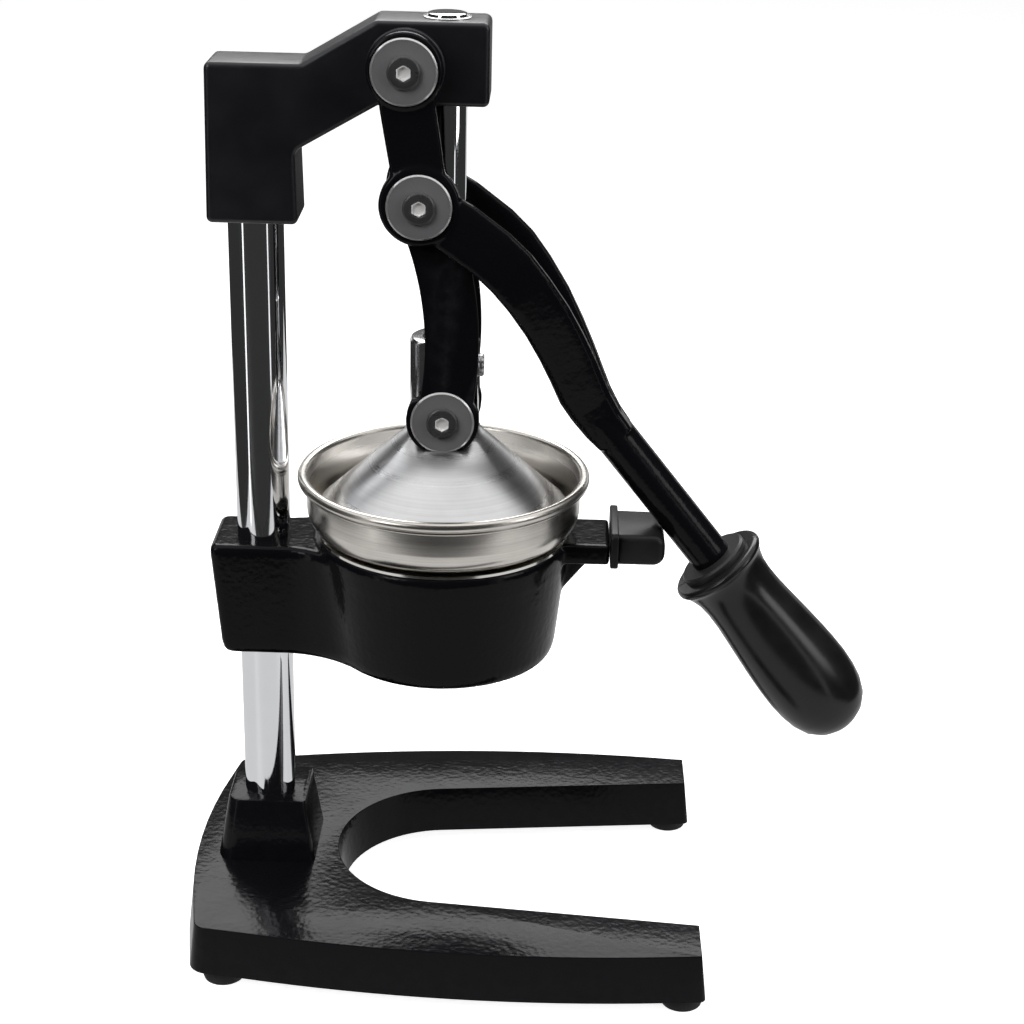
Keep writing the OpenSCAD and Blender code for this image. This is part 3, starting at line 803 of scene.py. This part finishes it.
@dataclass
class CupBracket:
    """The bracket and its bumper.

    Attributes:
        top: Top face of the ring.
        low: Lower edge of the ring.
        radius: Outer radius at the top.
        block_x: Left end of the clamp block at its foot.
        block_y: Half width of the clamp block at its foot.
        corner: Radius of the clamp block's upright edges.
    """

    top: float = 196.0
    low: float = 139.0
    radius: float = 57.5
    block_x: float = -99.5
    block_y: float = 19.0
    corner: float = 3.0

    def plan(self, z: float, shrink: float = 0.0) -> Outline:
        """The outside seen from above at one height.

        Args:
            z: Height.
            shrink: Distance that the outline is drawn in.

        Returns:
            The outline, anticlockwise from the block's rear corner.
        """
        share = (z - self.low) / (self.top - self.low)
        r = self.radius - 6.2 * (1.0 - share) - shrink
        w = self.block_y + 0.6 * share - shrink
        left = self.block_x - 5.0 * share + shrink
        start = -72.5
        hollow = (start ** 2 + w ** 2 - r ** 2) / (2 * (r - w))
        bend = math.degrees(math.atan2(hollow + w, start))
        sweep = math.degrees(math.atan2(-start, hollow + w))
        ring = arc(0.0, 0.0, r, -bend, bend, 60)
        upper = arc(start, hollow + w, hollow, -90.0 + sweep, -90.0, 12)
        lower = [(x, -y) for x, y in reversed(upper)]
        c = self.corner
        block = [*arc(left + c, w - c, c, 90.0, 180.0, 5), *arc(left + c, c - w, c, 180.0, 270.0, 5)]
        return ring[1:-1] + upper + block + lower

    def shell(self) -> bmesh.types.BMesh:
        """The drafted body, still solid."""
        heights = ((self.low, 3.4), (self.low + 0.8, 1.6), (self.low + 2.6, 0.5), (self.low + 6.0, 0.0),
                   (self.top - 6.5, 0.0), (self.top - 4.4, 0.5), (self.top - 3.3, 2.0))
        return loft([ring_at(self.plan(z, shrink), z) for z, shrink in heights])

    def fused(self) -> bmesh.types.BMesh:
        """The casting: body, raised ring, tongue and web, with the bore cut out."""
        t, r = self.top, self.radius
        ring = lathe([(40.0, t - 12.0), (r - 1.2, t - 12.0), (r - 0.4, t - 3.2), (r - 0.8, t - 1.0),
                      (r - 2.0, t - 0.1), (40.0, t - 0.1)], 128)
        tongue = plate([(48.0, t - 8.6), (75.4, t - 8.6), (75.4, t + 0.8), (48.0, t + 0.8)], -17.0, 17.0, 1.4, 3)
        web = plate([(48.0, t - 27.0), (54.0, t - 27.0), (70.0, t - 7.0), (48.0, t - 7.0)], -5.0, 5.0, 0.8, 2)
        whole = cast_body(joined([self.shell(), ring, tongue, web]), 0.9, 0)
        bore = lathe([(0.0, self.low - 5.0), (49.0, self.low - 5.0), (49.0, t + 5.0), (0.0, t + 5.0)], 128)
        hollow = carved(whole, bore)
        return cast_body(hollow, 0.9, 5)

    def build(self) -> None:
        """Makes the bracket and its small parts."""
        piece("cup_bracket", self.fused(), CAST, Body.FRAME, "bracket", angle=180)
        self.bumper()

    def bumper(self) -> None:
        """The rubber cap with its flange."""
        t = self.top
        flange = bmesh.new()
        ring = rounded([(-19.6, t - 9.6, 3.0), (19.6, t - 9.6, 3.0), (19.6, t + 7.4, 3.0),
                        (-19.6, t + 7.4, 3.0)], 5)
        face = flange.faces.new([flange.verts.new((75.7 * MM, y * MM, z * MM)) for y, z in ring])
        grown = bmesh.ops.extrude_face_region(flange, geom=[face])
        verts = [g for g in grown["geom"] if isinstance(g, bmesh.types.BMVert)]
        bmesh.ops.translate(flange, verts=verts, vec=(3.6 * MM, 0, 0))
        bmesh.ops.recalc_face_normals(flange, faces=flange.faces[:])
        rims = [e for e in flange.edges if abs(e.verts[0].co.x - e.verts[1].co.x) < 1e-7]
        soften(flange, rims, 0.8, 3)
        side = [(78.0, t - 8.6), *arc(94.8, t - 3.2, 5.4, -90, 0, 8), *arc(94.8, t + 0.4, 5.4, 0, 90, 8),
                (78.0, t + 6.0)]
        body = plate(side, -16.4, 16.4, 3.0, 4)
        piece("bumper_rubber_cap", joined([flange, body]), BUMPER, Body.FRAME, "bumper_cap")


# ---------------------------------------------------------------- cup


@dataclass
class StrainerCup:
    """The stainless cup.

    Attributes:
        rim_r: Outer radius of the rolled rim.
        rim_z: Height of the rim's centre line.
        wall: Outer radius of the wall.
        floor: Height of the cup's underside.
    """

    rim_r: float = 65.5
    rim_z: float = 223.0
    wall: float = 61.5
    floor: float = 197.2

    def profile(self) -> Outline:
        """The spun section of the cup, outside then inside."""
        outer = [(0.0, self.floor), (40.0, self.floor), *arc(49.5, self.floor + 12.0, 12.0, -90, 0, 14),
                 (self.wall, self.rim_z - 4.6), (self.wall + 0.9, self.rim_z - 4.2),
                 (self.wall + 1.2, self.rim_z - 3.4), (self.wall + 0.7, self.rim_z - 2.7)]
        curl = arc(self.rim_r - 2.4, self.rim_z, 2.4, -112, 190, 22)
        inner = [(self.wall - 0.9, self.rim_z - 1.6), (self.wall - 1.0, self.floor + 12.0),
                 *arc(49.5, self.floor + 12.0, 11.0, 0, -90, 12), (40.0, self.floor + 1.0),
                 (0.0, self.floor + 1.0)]
        return outer + curl + inner

    def build(self) -> None:
        """Makes the cup."""
        piece("strainer_cup_shell", lathe(self.profile(), 160), STAINLESS, Body.FRAME, "strainer_cup", angle=60)


# ---------------------------------------------------------------- head


@dataclass
class HeadCasting:
    """The head casting, its pads and bush.

    Attributes:
        half: Half thickness.
        pivot: Fixed pivot of the lever.
    """

    half: float = 14.2
    pivot: tuple[float, float] = (-16.3, 406.8)

    def build(self) -> None:
        """Makes the head."""
        side = rounded([(-100.9, 339.1, 2.6), (-62.0, 339.1, 2.6), (-62.8, 370.5, 5.0), (-27.5, 390.9, 6.0),
                        (18.2, 390.9, 2.6), (18.2, 425.4, 3.0), (-28.5, 425.4, 4.0), (-60.0, 406.9, 5.0),
                        (-99.8, 406.9, 3.0)], 6)
        block = plate(side, -self.half, self.half, 2.2, 5)
        piece("head_block", block, HEAD, Body.FRAME, "head")
        x, z = self.pivot
        pads = [moved(lathe([(0, 0), (16.3, 0), (16.3, 3.0), (15.9, 3.4), (0, 3.4)], 64),
                      sideways(x, z, s, self.half)) for s in (-1, 1)]
        piece("head_pads", joined(pads), HEAD, Body.FRAME)
        bush = lathe([(8.7, 425.0), (10.1, 425.0), (10.1, 425.9), (9.8, 426.1), (8.7, 426.1)], 64)
        piece("rod_bush", bush, BRIGHT, Body.FRAME, "guide_bush")


# ---------------------------------------------------------------- fasteners


@dataclass
class PivotFasteners:
    """Washers and socket screws of one pivot.

    Attributes:
        name: Pivot's short name.
        x: Pivot position.
        z: Pivot position.
        seat: Station of the washers' inner faces.
        body: The body they ride on.
    """

    name: str
    x: float
    z: float
    seat: float
    body: Body

    def washer(self) -> bmesh.types.BMesh:
        """One washer with a broken edge."""
        return lathe([(3.4, 0.0), (13.3, 0.0), (13.9, 0.4), (13.9, 1.0), (13.3, 1.6), (3.4, 1.6)], 96)

    def edge(self) -> bmesh.types.BMesh:
        """A painted highlight ring on the bevelled rim of one washer."""
        return lathe([(13.1, 1.0), (13.92, 1.0), (13.92, 1.06), (13.34, 1.64), (13.1, 1.64)], 96)

    def screw(self) -> bmesh.types.BMesh:
        """One screw head, dished on top round its socket."""
        return lathe([(0.0, 0.1), (6.5, 0.1), (6.9, 0.5), (6.9, 1.5), (6.5, 2.0), (5.9, 2.2), (3.6, 2.2),
                      (3.2, 1.9), (3.1, 0.6), (0.0, 0.6)], 64)

    def socket(self) -> bmesh.types.BMesh:
        """The bright hexagon in the screw head."""
        bm = bmesh.new()
        bmesh.ops.create_cone(bm, cap_ends=True, segments=6, radius1=3.3 * MM, radius2=3.3 * MM,
                              depth=1.5 * MM)
        bmesh.ops.translate(bm, verts=bm.verts[:], vec=(0, 0, 1.35 * MM))
        top = max((f for f in bm.faces if len(f.verts) == 6), key=lambda f: f.calc_center_median().z)
        bmesh.ops.inset_region(bm, faces=[top], thickness=0.45 * MM, depth=0.0)
        bmesh.ops.inset_region(bm, faces=[top], thickness=0.05 * MM, depth=-1.1 * MM)
        bmesh.ops.recalc_face_normals(bm, faces=bm.faces[:])
        return bm

    def build(self) -> None:
        """Makes both sides' washers, screws and sockets."""
        seats = [sideways(self.x, self.z, s, self.seat) for s in (-1, 1)]
        tops = [sideways(self.x, self.z, s, self.seat + 1.6) for s in (-1, 1)]
        piece(f"{self.name}_washer_pair", joined([moved(self.washer(), m) for m in seats]), PHOSPHATE,
              self.body, f"{self.name}_washers")
        # Painted highlight rings on the washers' bevelled rims.
        piece(f"{self.name}_washer_edges", joined([moved(self.edge(), m) for m in seats]), RIM_HIGHLIGHT, self.body)
        piece(f"{self.name}_screw_heads", joined([moved(self.screw(), m) for m in tops]), BLACKENED,
              self.body, f"{self.name}_screws")
        piece(f"{self.name}_sockets", joined([moved(self.socket(), m) for m in tops]), SOCKET, self.body)


# ---------------------------------------------------------------- lever


@dataclass
class ToggleLever:
    """The forked lever with its shaft, ferrule and grip.

    Attributes:
        head: Fixed pivot.
        knee: Knee pivot.
        inner: Inner face of the arms.
        outer: Outer face of the bosses.
        on_shaft: A point on the shaft's axis.
        droop: Slope of the shaft, in degrees.
        shaft: Radius of the shaft.
    """

    head: tuple[float, float] = (-16.3, 406.8)
    knee: tuple[float, float] = (-10.0, 351.0)
    inner: float = 17.7
    outer: float = 24.6
    on_shaft: tuple[float, float] = (87.9, 229.2)
    droop: float = 51.2
    shaft: float = 9.4

    def along(self) -> Matrix:
        """Turns a lathed shape from +Z onto the shaft's axis."""
        place = Matrix.Translation((self.on_shaft[0] * MM, 0, self.on_shaft[1] * MM))
        return place @ Matrix.Rotation(math.radians(90.0 + self.droop), 4, "Y")

    def strip(self, side: int) -> bmesh.types.BMesh:
        """The upper arm between both bosses.

        Args:
            side: 1 for the far arm, -1 for the near one.

        Returns:
            The strip.
        """
        hx, hz = self.head
        mx, mz = self.knee
        ring = [(hx - 12.5, hz - 2), (hx - 10.6, hz - 14), (hx - 9.0, hz - 24), (mx - 12.4, mz + 15),
                (mx - 13.5, mz), (mx + 13.5, mz + 4), (mx + 10.2, mz + 16), (mx + 8.9, mz + 26),
                (hx + 12.9, hz - 15), (hx + 14.5, hz - 2)]
        y = sorted((side * self.inner, side * (self.outer - 1.1)))
        return plate(ring, y[0], y[1], 1.4, 3)

    def section(self, x: float, z: float, y: float, tilt: float, tall: float, thick: float) -> list[Vector]:
        """A rounded rectangular section of an arm.

        Args:
            x: Centre.
            z: Centre.
            y: Centre.
            tilt: Direction of the arm below the horizontal, in degrees.
            tall: Half height across the arm.
            thick: Half thickness.

        Returns:
            The ring of points in metres.
        """
        a = math.radians(tilt)
        up = Vector((math.sin(a), 0.0, math.cos(a)))
        ring = []
        for i in range(24):
            t = math.tau * i / 24
            c, s = math.cos(t), math.sin(t)
            flat = 0.45
            u = math.copysign(abs(c) ** flat, c) * tall
            v = math.copysign(abs(s) ** flat, s) * thick
            ring.append((Vector((x, y, z)) + up * u + Vector((0, v, 0))) * MM)
        return ring

    def arm(self, side: int) -> bmesh.types.BMesh:
        """The curved arm from the knee to the shaft.

        Args:
            side: 1 for the far arm, -1 for the near one.

        Returns:
            The arm.
        """
        stations = [(-6, 349, 20.7, 24, 11.5, 3.0), (6, 341.5, 20.9, 33, 12.0, 3.2),
                    (20.5, 330.8, 20.7, 41, 11.8, 3.3), (29, 322.6, 20.0, 46, 11.8, 3.3),
                    (36.6, 312.9, 18.4, 50, 11.5, 3.4), (44.6, 300.6, 15.2, 54, 11.4, 3.7),
                    (51.0, 288.4, 11.6, 58, 11.3, 4.3), (56.2, 277.2, 8.2, 59.5, 11.3, 5.2),
                    (60.6, 266.8, 5.6, 58, 11.3, 5.9), (64.9, 258.9, 3.6, 54.5, 10.6, 6.2),
                    (70.6, 250.4, 2.4, 51.2, 9.7, 6.3), (76.4, 243.6, 2.2, 51.2, 8.9, 6.0)]
        return loft([self.section(x, z, side * y, tilt, tall, thick)
                     for x, z, y, tilt, tall, thick in stations])

    def casting(self) -> bmesh.types.BMesh:
        """The whole casting as overlapping shapes."""
        parts = []
        for side in (-1, 1):
            deep = self.outer - self.inner
            for (x, z), r in ((self.head, 16.0), (self.knee, 17.2)):
                boss = lathe([(0, 0), (r - 0.4, 0), (r, 0.5), (r, deep - 1.0), (r - 1.0, deep), (0, deep)], 72)
                parts.append(moved(boss, sideways(x, z, side, self.inner)))
            parts += [self.strip(side), self.arm(side)]
        parts.append(moved(lathe([(0, -30), (self.shaft, -30), (self.shaft, 90), (0, 90)], 64), self.along()))
        return joined(parts)

    def grip_shape(self) -> bmesh.types.BMesh:
        """The moulded grip with its flange."""
        ring = [(9.6, 58.2), (20.4, 58.2), *arc(20.4, 60.3, 2.1, -90, 60, 8), (20.6, 63.6), (19.4, 66.4),
                (18.3, 70.5), (17.8, 76), (18.0, 84), (18.8, 93), (19.8, 103), (20.7, 113), (21.3, 122),
                (21.5, 131), (21.0, 139), (19.7, 146), (17.2, 152.2), (13.4, 156.8), (8.8, 159.8),
                (4.4, 161.0), (0, 161.3), (0, 100), (9.6, 100)]
        return moved(lathe(ring, 96), self.along())

    def build(self) -> None:
        """Makes the lever, ferrule, grip and fasteners."""
        piece("lever_casting", cast_body(self.casting(), 0.75, 5), CAST, Body.LEVER, "lever", angle=180)
        ring = lathe([(9.3, 54.9), (15.6, 54.9), (16.6, 55.9), (16.6, 58.1), (9.3, 58.1)], 80)
        piece("grip_ferrule", moved(ring, self.along()), FERRULE, Body.LEVER, "ferrule")
        piece("grip_moulding", self.grip_shape(), GRIP, Body.LEVER, "grip", angle=60)
        PivotFasteners("h", *self.head, self.outer, Body.FRAME).build()
        PivotFasteners("m", *self.knee, self.outer, Body.LEVER).build()


# ---------------------------------------------------------------- links


@dataclass
class CurvedLinks:
    """The two bowed links between the knee and the press head.

    Attributes:
        knee: Upper pivot.
        foot: Lower pivot.
        inner: Inner face.
        thick: Thickness.
        bow: Bow of the centre line.
        half: Half width of the band.
    """

    knee: tuple[float, float] = (-10.0, 351.0)
    foot: tuple[float, float] = (0.0, 254.0)
    inner: float = 11.3
    thick: float = 6.0
    bow: float = 8.0
    half: float = 11.6

    def outline(self) -> Outline:
        """The link's outline: two eyes and a bowed band."""
        fx, fz = self.foot
        lean = math.degrees(math.atan2(self.knee[1] - fz, self.knee[0] - fx))
        length = math.dist(self.knee, self.foot)
        radius = (length * length / 4 + self.bow ** 2) / (2 * self.bow)
        flat: Outline = []
        half_angle = math.degrees(math.asin(length / 2 / radius))
        cut = 8.4 / radius * 57.3
        flat += arc(0, 0, 16.0, 52, 308, 28)
        cx, cy = length / 2, radius - self.bow
        flat += arc(cx, cy, radius + self.half, 270 - half_angle + cut, 270 + half_angle - cut, 18)
        flat += arc(length, 0, 16.0, -128, 128, 28)
        flat += arc(cx, cy, radius - self.half, 270 + half_angle - cut, 270 - half_angle + cut, 18)
        a = math.radians(lean)
        return [(fx + x * math.cos(a) - y * math.sin(a), fz + x * math.sin(a) + y * math.cos(a))
                for x, y in flat]

    def build(self) -> None:
        """Makes both links and the fasteners at their feet."""
        ring = self.outline()
        for name, side in (("front", -1), ("rear", 1)):
            y = sorted((side * self.inner, side * (self.inner + self.thick)))
            piece(f"bowed_link_{name}", plate(ring, y[0], y[1], 1.0, 3), CAST, Body.LINKS, f"link_{name}")
        PivotFasteners("p", *self.foot, self.inner + self.thick, Body.LINKS).build()


# ---------------------------------------------------------------- press


@dataclass
class PressGroup:
    """The press rod, the press head and its set screw.

    Attributes:
        rod: Radius of the rod.
        top: Top of the rod.
        neck: Radius of the neck.
        flat: Half distance between the flats.
        skirt: Largest radius of the cone.
    """

    rod: float = 8.6
    top: float = 427.5
    neck: float = 15.2
    flat: float = 11.0
    skirt: float = 57.0

    def head_shape(self) -> bmesh.types.BMesh:
        """The turned cone with the foot of its neck, without the flats."""
        s = self.skirt
        ring = [(0, 221.6), (6, 221), (12, 219.2), (36, 207.5), (40, 204.5), (s - 3, 204.5), (s - 1, 204.9),
                (s - 0.2, 206), (s - 0.1, 207.4), (s - 0.8, 208.8), (50.0, 214.5), (36.0, 227.2),
                (22.5, 239.6), (18.6, 243.0), (16.6, 245.4), (15.6, 247.6), (15.3, 249.0), (0, 249.0)]
        return lathe(ring, 160)

    def neck_shape(self) -> bmesh.types.BMesh:
        """The polished neck round the rod."""
        r = self.neck
        return lathe([(0, 248.0), (r - 0.1, 248.0), (r, 249.0), (r, 286.6), (r - 0.5, 287.6), (r - 1.2, 288.0),
                      (9.6, 288.0), (9.0, 287.0), (8.7, 284.0), (0, 284.0)], 160)

    def cut_flats(self, bm: bmesh.types.BMesh) -> bmesh.types.BMesh:
        """Cuts the two flats into the neck.

        Args:
            bm: The turned shape.

        Returns:
            The shape with its flats.
        """
        low = 240.0 * MM
        for s in (-1, 1):
            bmesh.ops.bisect_plane(bm, geom=bm.verts[:] + bm.edges[:] + bm.faces[:], dist=1e-7,
                                   plane_co=(0, s * self.flat * MM, 0), plane_no=(0, s, 0))
        for v in bm.verts:
            if v.co.z > low and abs(v.co.y) > self.flat * MM and math.hypot(v.co.x, v.co.y) < 19 * MM:
                v.co.y = math.copysign(self.flat * MM, v.co.y)
        return bm

    def build(self) -> None:
        """Makes the rod, the head and the screw."""
        rod = lathe([(0, 262), (self.rod, 262), (self.rod, self.top - 1.2), (self.rod - 0.4, self.top - 0.3),
                     (self.rod - 1.2, self.top), (0, self.top)], 96)
        piece("press_rod_bar", rod, CHROME, Body.PRESS, "press_rod")
        piece("press_cone", self.cut_flats(self.head_shape()), PRESS, Body.PRESS, "press_head")
        piece("press_neck", self.cut_flats(self.neck_shape()), NECK, Body.PRESS)
        screw = lathe([(0, 15.0), (4.6, 15.0), (5.0, 15.4), (5.0, 16.6), (4.5, 17.3), (0, 17.4)], 40)
        place = Matrix.Translation((0, 0, 275.0 * MM)) @ Matrix.Rotation(math.radians(90), 4, "Y")
        piece("neck_screw", moved(screw, place), BRIGHT, Body.PRESS, "press_screw")


# ---------------------------------------------------------------- studio


@dataclass
class Studio:
    """Floor, lights and camera.

    Attributes:
        eye: Camera position in millimetres.
        azimuth: Direction of the camera round the press.
        pitch: Downward tilt.
        roll: Turn about the line of sight.
        lens: Focal length.
        shift: Lens shift.
        room: Brightness of the room in reflections.
        lights: Name, place, size and power of each soft light.
        cards: Name, place, point it faces, size and brightness of each card.
    """

    eye: tuple[float, float, float] = (45.94, -879.15, 563.88)
    azimuth: float = 0.44
    pitch: float = 22.417
    roll: float = 1.442
    lens: float = 73.713
    shift: tuple[float, float] = (-0.01747, 0.00907)
    room: float = 0.03
    lights: list[tuple[str, Spot, float, float, float]] = field(default_factory=lambda: [
        ("key", (-0.9, -0.9, 1.3), 1.0, 1.0, 22.0),
        ("fill", (1.3, -0.6, 0.8), 0.7, 1.2, 12.0),
        ("top", (0.0, 0.1, 1.6), 1.2, 1.2, 16.0),
    ])
    cards: list[tuple[str, Spot, Spot, float, float, float]] = field(
        default_factory=lambda: [
            ("card_overhead", (0.0, 0.05, 1.25), (0.0, 0.05, 0.0), 3.2, 1.3, 1.0),
            ("card_table", (-0.02, 0.17, -0.004), (-0.02, 0.17, 1.0), 1.16, 1.2, 0.66),
            ("card_apron", (0.0, -1.05, -0.005), (0.0, -1.05, 1.0), 3.0, 1.1, 0.03),
            ("card_back", (0.0, 1.6, 0.45), (0.0, 0.0, 0.2), 3.0, 0.9, 0.14),
            ("card_back_high", (0.0, 1.6, 1.55), (0.0, 0.0, 0.4), 1.8, 0.9, 5.0),
            ("card_back_left", (-0.85, 1.5, 0.28), (-0.1, 0.0, 0.25), 0.9, 0.5, 0.9),
            ("card_back_right", (0.75, 1.5, 0.28), (0.0, 0.0, 0.25), 0.6, 0.5, 0.8),
            ("card_strip_left", (-0.49, -0.33, 0.17), (-0.12, 0.0, 0.17), 0.05, 0.34, 1.5),
            ("card_strip_right", (0.52, -0.46, 0.20), (-0.04, 0.0, 0.20), 0.07, 0.40, 1.2),
            ("card_window", (-1.0, -1.0, 0.95), (0.0, 0.0, 0.25), 0.35, 0.7, 5.0),
            ("card_bounce", (1.2, -0.5, 0.75), (0.0, 0.0, 0.25), 0.4, 0.7, 3.0),
        ])

    def camera(self) -> None:
        """Makes the camera."""
        a, e, r = (math.radians(v) for v in (self.azimuth, self.pitch, self.roll))
        back = Vector((math.sin(a) * math.cos(e), -math.cos(a) * math.cos(e), math.sin(e)))
        level = Vector((math.cos(a), math.sin(a), 0.0))
        up = back.cross(level)
        right = level * math.cos(r) + up * math.sin(r)
        top = up * math.cos(r) - level * math.sin(r)
        data = bpy.data.cameras.new("camera")
        data.lens = self.lens
        data.sensor_width = 36.0
        data.shift_x, data.shift_y = self.shift
        data.clip_end = 20.0
        made = placed("camera", data)
        turn = Matrix((right, top, back)).transposed().to_4x4()
        made.matrix_world = Matrix.Translation((Vector(self.eye) + Vector((AXIS, 0.0, 0.0))) * MM) @ turn
        bpy.context.scene.camera = made

    def floor(self) -> None:
        """Makes the pale floor."""
        bm = bmesh.new()
        bmesh.ops.create_grid(bm, x_segments=1, y_segments=1, size=6.0)
        mesh = mesh_of("floor", bm)
        graph = Graph("floor")
        tone = graph.span(graph.noise(3.0, 2.0), 0.3, 0.7, 0.0, 1.0)
        graph.feed("Base Color", graph.blend(tone, (0.90, 0.90, 0.90), (0.92, 0.92, 0.92)))
        graph.feed("Roughness", 0.9)
        graph.feed("Emission Color", WHITE)
        graph.feed("Emission Strength", 0.9)
        mesh.materials.append(graph.material)
        made = placed("floor", mesh)
        made.visible_glossy = False
        made.visible_diffuse = False

    def lighting(self) -> None:
        """Makes the soft lights and the pale surround."""
        for name, spot, wide, tall, power in self.lights:
            data = bpy.data.lights.new(name, "AREA")
            data.shape = "RECTANGLE"
            data.size, data.size_y = wide, tall
            data.energy = power
            data.use_shadow = True
            made = placed(name, data)
            aim = Vector((0.0, 0.0, 0.2)) - Vector(spot)
            made.location = spot
            made.rotation_euler = aim.to_track_quat("-Z", "Y").to_euler()
            made.visible_glossy = False
        world = bpy.data.worlds.new("surround")
        world.use_nodes = True
        tree = world.node_tree
        tree.nodes.clear()
        out = tree.nodes.new("ShaderNodeOutputWorld")
        mix = tree.nodes.new("ShaderNodeMixShader")
        path = tree.nodes.new("ShaderNodeLightPath")
        room, paper = (tree.nodes.new("ShaderNodeBackground") for _ in range(2))
        room.inputs[0].default_value = WHITE
        room.inputs[1].default_value = self.room
        paper.inputs[1].default_value = 1.0
        paper.inputs[0].default_value = WHITE
        tree.links.new(path.outputs["Is Camera Ray"], mix.inputs[0])
        tree.links.new(room.outputs[0], mix.inputs[1])
        tree.links.new(paper.outputs[0], mix.inputs[2])
        tree.links.new(mix.outputs[0], out.inputs[0])
        bpy.context.scene.world = world
        bpy.context.scene.view_settings.view_transform = "Standard"

    def card(self, name: str, spot: Spot, facing: Spot, wide: float, tall: float, glow: float) -> None:
        """A bright card that only reflections see.

        Args:
            name: Name of the card.
            spot: Centre in metres.
            facing: Point that it faces, in metres.
            wide: Width in metres.
            tall: Height in metres.
            glow: Brightness.
        """
        bm = bmesh.new()
        bmesh.ops.create_grid(bm, x_segments=1, y_segments=1, size=0.5)
        bmesh.ops.scale(bm, verts=bm.verts[:], vec=(wide, tall, 1.0))
        aim = (Vector(facing) - Vector(spot)).to_track_quat("-Z", "Y").to_matrix().to_4x4()
        moved(bm, Matrix.Translation(spot) @ aim)
        mesh = mesh_of(name, bm)
        graph = Graph(name)
        graph.feed("Base Color", (0.0, 0.0, 0.0, 1.0))
        graph.feed("Emission Color", WHITE)
        graph.feed("Emission Strength", glow)
        mesh.materials.append(graph.material)
        made = placed(name, mesh)
        made.visible_camera = False
        made.visible_diffuse = False
        made.visible_shadow = False

    def build(self) -> None:
        """Makes the whole studio."""
        self.camera()
        self.floor()
        self.lighting()
        for card in self.cards:
            self.card(*card)


def dress_hidden(frame: dict) -> None:
    """Dresses the CAD nodes that stay.

    Args:
        frame: The loaded frame.
    """
    kept = {"column_bolt": BRIGHT, "bracket_screw": BLACKENED, "head_screw": BLACKENED, "h_pin": BRIGHT,
            "m_pin": BRIGHT, "p_pin": BRIGHT, "juice_funnel": POLISHED, "reamer": STAINLESS}
    for node, finish in kept.items():
        mesh = frame["nodes"][node].data
        mesh.materials.clear()
        mesh.materials.append(finish.material())
        LOG.info("%s keeps its own shape", node)


def main() -> None:
    logging.basicConfig(level=logging.INFO, format="%(message)s")
    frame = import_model()
    Studio().build()
    BaseStand().build()
    CupBracket().build()
    StrainerCup().build()
    HeadCasting().build()
    ToggleLever().build()
    CurvedLinks().build()
    PressGroup().build()
    dress_hidden(frame)


if __name__ == "__main__":
    main()
